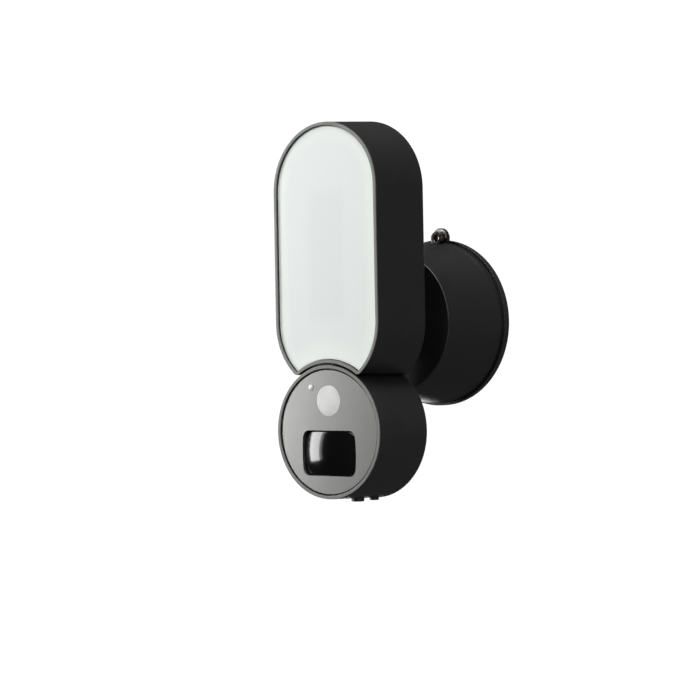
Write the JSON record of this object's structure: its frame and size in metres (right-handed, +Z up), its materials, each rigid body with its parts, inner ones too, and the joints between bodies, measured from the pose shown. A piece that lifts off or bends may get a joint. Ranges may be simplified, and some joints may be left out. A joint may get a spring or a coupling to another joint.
{
  "type": "floodlight security camera",
  "caption": "Wall-mounted floodlight with an opal stadium diffuser above a round camera head, on a pan and tilt joint and a round conical wall base.",
  "frame": {"origin": "where the axis of the round wall base meets the wall, at the back face of the back plate", "axes": "+X to the right seen from the front, +Y into the wall, +Z up; the light and the camera face -Y"},
  "size_m": [0.1164, 0.1272, 0.2541],
  "materials": {
    "black_paint": "satin",
    "black_plastic": "satin",
    "grey_trim": "satin",
    "grey_plate": "satin",
    "opal": "satin",
    "smoked_window": "polished",
    "pale_lens": "satin",
    "light_pipe": "polished",
    "black_chrome": "polished",
    "zinc_steel": "satin",
    "brass": "satin",
    "black_rubber": "matte",
    "white_plastic": "satin",
    "aluminium": "satin",
    "white_board": "satin",
    "green_board": "satin",
    "led_yellow": "satin",
    "lens_glass": "polished",
    "wire": "satin",
    "nylon": "satin"
  },
  "bodies": {
    "base": {"back_plate": "black_plastic", "base_gasket": "black_rubber", "base_housing": "black_paint", "base_lock_screw": "black_chrome", "cable_grommet": "black_rubber", "terminal_block": "white_plastic", "terminal_screws": "zinc_steel", "led_driver": "white_plastic", "driver_screws": "zinc_steel", "supply_leads": "wire", "swivel_fork": "black_paint", "fork_seal": "black_rubber", "fork_screws": "zinc_steel", "pan_screw": "zinc_steel", "pan_nut": "zinc_steel", "pan_washers": "nylon"},
    "knuckle": {"knuckle": "black_paint"},
    "head": {"board_screws": "zinc_steel", "bracket_screws": "zinc_steel", "button_spring": "zinc_steel", "camera_bezel": "grey_trim", "camera_housing": "black_plastic", "camera_lens_barrel": "black_plastic", "camera_lens_glass": "lens_glass", "camera_seal": "black_rubber", "camera_window": "smoked_window", "card_socket": "zinc_steel", "cover_hinge_pin": "zinc_steel", "diffuser": "opal", "diffuser_seal": "black_rubber", "face_plate": "grey_plate", "head_lead": "wire", "heat_spreader": "aluminium", "indicator_light_pipe": "light_pipe", "infrared_leds": "smoked_window", "io_board": "green_board", "led_board": "white_board", "led_board_screws": "zinc_steel", "led_chips": "led_yellow", "light_bezel": "grey_trim", "light_housing": "black_paint", "link_nipple": "brass", "link_nuts": "brass", "link_seal": "black_rubber", "main_board": "green_board", "pir_lens": "pale_lens", "pir_sensor": "zinc_steel", "reflector_tray": "white_plastic", "reset_switch": "black_plastic", "speaker": "black_plastic", "spreader_screws": "zinc_steel", "tilt_bracket": "black_paint", "tilt_nut": "zinc_steel", "tilt_screw": "zinc_steel", "tilt_washers": "nylon", "vent_plug": "black_plastic", "wireless_antenna": "zinc_steel", "wireless_module": "zinc_steel"},
    "service_cover": {"service_cover": "black_rubber"},
    "reset_button": {"reset_button": "black_plastic"}
  },
  "joints": [
    {"name": "pan", "type": "hinge", "parent": "base", "child": "knuckle", "pos_m": [0, -0.064, 0], "axis": [0, 0, 1], "range_deg": [-20, 20]},
    {"name": "tilt", "type": "hinge", "parent": "knuckle", "child": "head", "pos_m": [0, -0.0765, 0], "axis": [1, 0, 0], "range_deg": [-20, 15]},
    {"name": "service_cover_hinge", "type": "hinge", "parent": "head", "child": "service_cover", "pos_m": [0, -0.0766, -0.1051], "axis": [-1, 0, 0], "range_deg": [0, 110]},
    {"name": "reset_press", "type": "slide", "parent": "head", "child": "reset_button", "axis": [0, 0, 1], "range_m": [0, 0.001], "stiffness_N_per_m": 400, "springref_m": -0.001, "deforming": ["button_spring"]}
  ]
}
